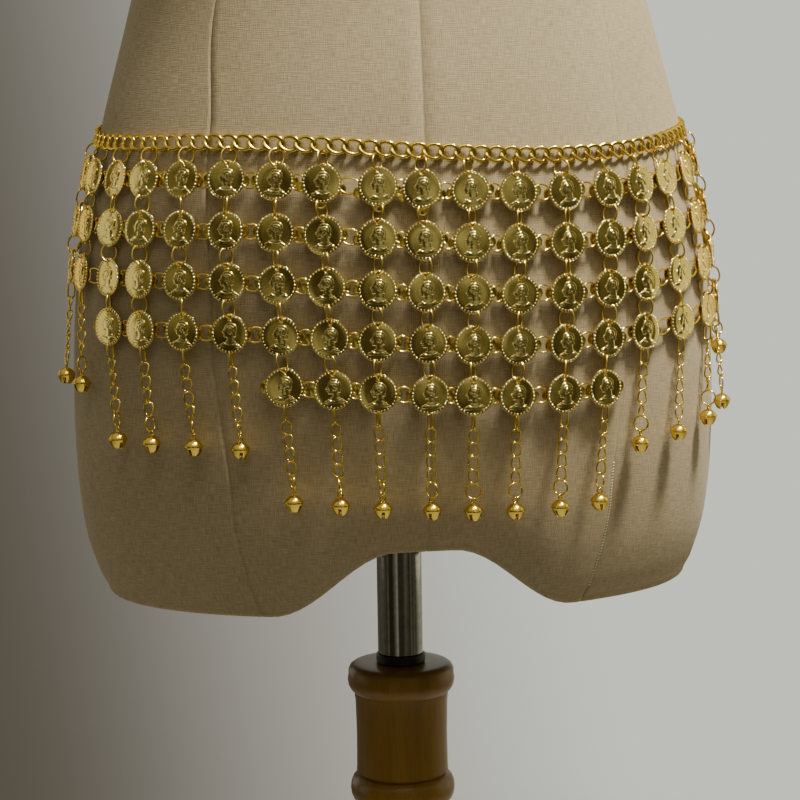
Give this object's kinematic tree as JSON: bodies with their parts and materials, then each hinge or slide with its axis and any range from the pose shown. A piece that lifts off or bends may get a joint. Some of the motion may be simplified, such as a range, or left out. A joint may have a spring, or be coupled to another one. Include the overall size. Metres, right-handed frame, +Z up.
{
  "type": "coin waist chain on a dress form",
  "caption": "Gold curb chain for the hips with hanging strands of linked coins and small bells, on a limbless linen dress form with a pole stand.",
  "frame": {"origin": "on the floor, at the middle of the round base and under the pole", "axes": "+Z up, the form's front faces -Y, +X towards the form's left hip"},
  "size_m": [0.4, 0.4, 1.5563],
  "materials": {
    "gold": "polished gold plating",
    "linen": "plain woven linen",
    "wood": "brown semi-gloss varnish",
    "chrome": "polished",
    "black": "satin"
  },
  "bodies": {
    "root": {"belt_chain_01": "gold", "belt_chain_02": "gold", "belt_chain_03": "gold", "belt_chain_04": "gold", "belt_chain_05": "gold", "belt_chain_06": "gold", "clasp_hook": "gold", "clasp_ring": "gold", "coin_strand_01": "gold", "coin_strand_02": "gold", "coin_strand_03": "gold", "coin_strand_04": "gold", "coin_strand_05": "gold", "coin_strand_06": "gold", "coin_strand_07": "gold", "coin_strand_08": "gold", "coin_strand_09": "gold", "coin_strand_10": "gold", "coin_strand_11": "gold", "coin_strand_12": "gold", "coin_strand_13": "gold", "coin_strand_14": "gold", "coin_strand_15": "gold", "coin_strand_16": "gold", "coin_strand_17": "gold", "coin_strand_18": "gold", "coin_strand_19": "gold", "coin_strand_20": "gold", "form_torso": "linen", "form_neck_cap": "wood", "form_pole": "chrome", "pole_collar": "black", "stand_column": "wood", "stand_base": "wood"}
  },
  "joints": []
}
